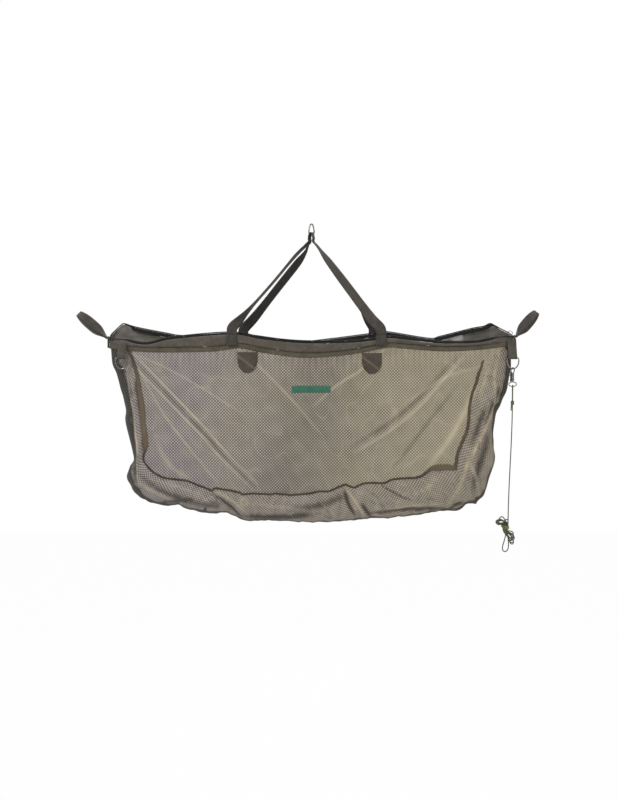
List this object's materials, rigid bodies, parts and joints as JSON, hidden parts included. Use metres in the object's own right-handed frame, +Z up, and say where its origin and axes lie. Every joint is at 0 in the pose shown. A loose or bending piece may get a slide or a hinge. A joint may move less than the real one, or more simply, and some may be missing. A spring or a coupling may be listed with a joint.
{
  "type": "fishing recovery sling",
  "caption": "Fine-mesh fishing weigh and recovery sling with a zipped, floated mouth, webbing carry straps and a clip-on retaining cord, hung up.",
  "frame": {"origin": "where the sling hangs: the inner side of the top of its hanging ring", "axes": "+X along the mouth, to the right from the front; +Y from the front panel to the rear one; +Z up"},
  "size_m": [1.3742, 0.1534, 0.9785],
  "materials": {
    "netting": "fine woven mesh, matte",
    "gusset_netting": "fine woven mesh, matte",
    "piping": "bound seam tape, matte",
    "collar_cloth": "coated cloth, slight sheen",
    "rear_collar_cloth": "coated cloth, slight sheen",
    "foam": "closed-cell foam, hidden in the collars",
    "hem_tape": "woven tape, matte",
    "zip_tape": "woven zip tape, matte",
    "zip_coil": "moulded coil",
    "hood_cloth": "smooth coated cloth",
    "patch_cloth": "heavy woven cloth",
    "strap_webbing": "woven polyester webbing",
    "handle_webbing": "woven polyester webbing",
    "tab_webbing": "woven polyester webbing",
    "label_green": "satin label, bare",
    "nickel_steel": "nickel plated",
    "trigger_black": "black coated lever",
    "cord_green": "braided cord",
    "tie_green": "thin braided cord"
  },
  "bodies": {
    "bag": {"front_panel": "netting", "rear_panel": "netting", "gusset": "gusset_netting", "front_seam_binding": "piping", "rear_seam_binding": "piping", "front_collar": "collar_cloth", "rear_collar": "rear_collar_cloth", "front_float": "foam", "rear_float": "foam", "front_hem_tape": "hem_tape", "rear_hem_tape": "hem_tape", "front_zip_tape_left": "zip_tape", "front_zip_tape_right": "zip_tape", "rear_zip_tape": "zip_tape", "front_zip_coil": "zip_coil", "rear_zip_coil": "zip_coil", "left_end_hood": "hood_cloth", "right_end_hood": "hood_cloth", "front_left_patch": "patch_cloth", "front_right_patch": "patch_cloth", "rear_left_patch": "patch_cloth", "rear_right_patch": "patch_cloth", "front_left_strap_foot": "strap_webbing", "front_right_strap_foot": "strap_webbing", "rear_left_strap_foot": "strap_webbing", "rear_right_strap_foot": "strap_webbing", "left_end_patch": "strap_webbing", "right_end_patch": "strap_webbing", "left_ring_tab": "tab_webbing", "right_ring_tab": "tab_webbing", "label": "label_green"},
    "front_strap": {"front_handle": "strap_webbing"},
    "rear_strap": {"rear_handle": "strap_webbing"},
    "ring": {"hanging_ring": "nickel_steel"},
    "left_loop": {"left_end_handle": "handle_webbing"},
    "right_loop": {"right_end_handle": "handle_webbing"},
    "left_dee": {"left_d_ring": "nickel_steel"},
    "right_dee": {"right_d_ring": "nickel_steel"},
    "snap": {"snap_hook": "nickel_steel"},
    "trigger": {"snap_trigger": "trigger_black"},
    "swivel_and_cord": {"snap_eye": "nickel_steel", "cord_loop": "cord_green", "cord_knot": "cord_green", "cord_line": "cord_green", "cord_tail": "cord_green", "cord_hank": "cord_green", "cord_tie": "tie_green"},
    "slider": {"zip_slider": "nickel_steel"},
    "pull": {"zip_pull": "nickel_steel"}
  },
  "joints": [
    {"name": "front_strap_fold", "type": "hinge", "parent": "bag", "child": "front_strap", "pos_m": [0, -0.0648, -0.322], "axis": [1, 0, 0], "range_deg": [0, 165]},
    {"name": "rear_strap_fold", "type": "hinge", "parent": "bag", "child": "rear_strap", "pos_m": [0, 0.0648, -0.322], "axis": [1, 0, 0], "range_deg": [-165, 0]},
    {"name": "ring_swing", "type": "hinge", "parent": "front_strap", "child": "ring", "pos_m": [0, 0, -0.026], "axis": [0.7071, 0.7071, 0], "range_deg": [-40, 40]},
    {"name": "left_loop_swing", "type": "hinge", "parent": "bag", "child": "left_loop", "pos_m": [-0.6041, 0, -0.334], "axis": [0, -1, 0], "range_deg": [-30, 100]},
    {"name": "right_loop_swing", "type": "hinge", "parent": "bag", "child": "right_loop", "pos_m": [0.6041, 0, -0.33], "axis": [0, 1, 0], "range_deg": [-30, 100]},
    {"name": "left_dee_swing", "type": "hinge", "parent": "bag", "child": "left_dee", "pos_m": [-0.557, -0.043, -0.39], "axis": [1, 0, 0], "range_deg": [-100, 3]},
    {"name": "right_dee_swing", "type": "hinge", "parent": "bag", "child": "right_dee", "pos_m": [0.59, -0.043, -0.39], "axis": [1, 0, 0], "range_deg": [-100, 3]},
    {"name": "snap_swing", "type": "hinge", "parent": "right_dee", "child": "snap", "pos_m": [0.59, -0.043, -0.4225], "axis": [1, 0, 0], "range_deg": [-90, 5]},
    {"name": "trigger_swing", "type": "hinge", "parent": "snap", "child": "trigger", "pos_m": [0.58601, -0.03825, -0.4414], "axis": [0.766, 0.6428, 0], "range_deg": [0, 20], "stiffness_Nm_per_rad": 0.05, "springref_deg": -20.05},
    {"name": "swivel_spin", "type": "hinge", "parent": "snap", "child": "swivel_and_cord", "pos_m": [0.59, -0.043, -0.4675], "axis": [0, 0, 1], "continuous": true},
    {"name": "slider_slide", "type": "slide", "parent": "bag", "child": "slider", "axis": [-1, 0, 0], "range_m": [0, 0.018]},
    {"name": "pull_swing", "type": "hinge", "parent": "slider", "child": "pull", "pos_m": [0.588, 0, -0.3238], "axis": [1, 0, 0], "range_deg": [-10, 115]}
  ]
}
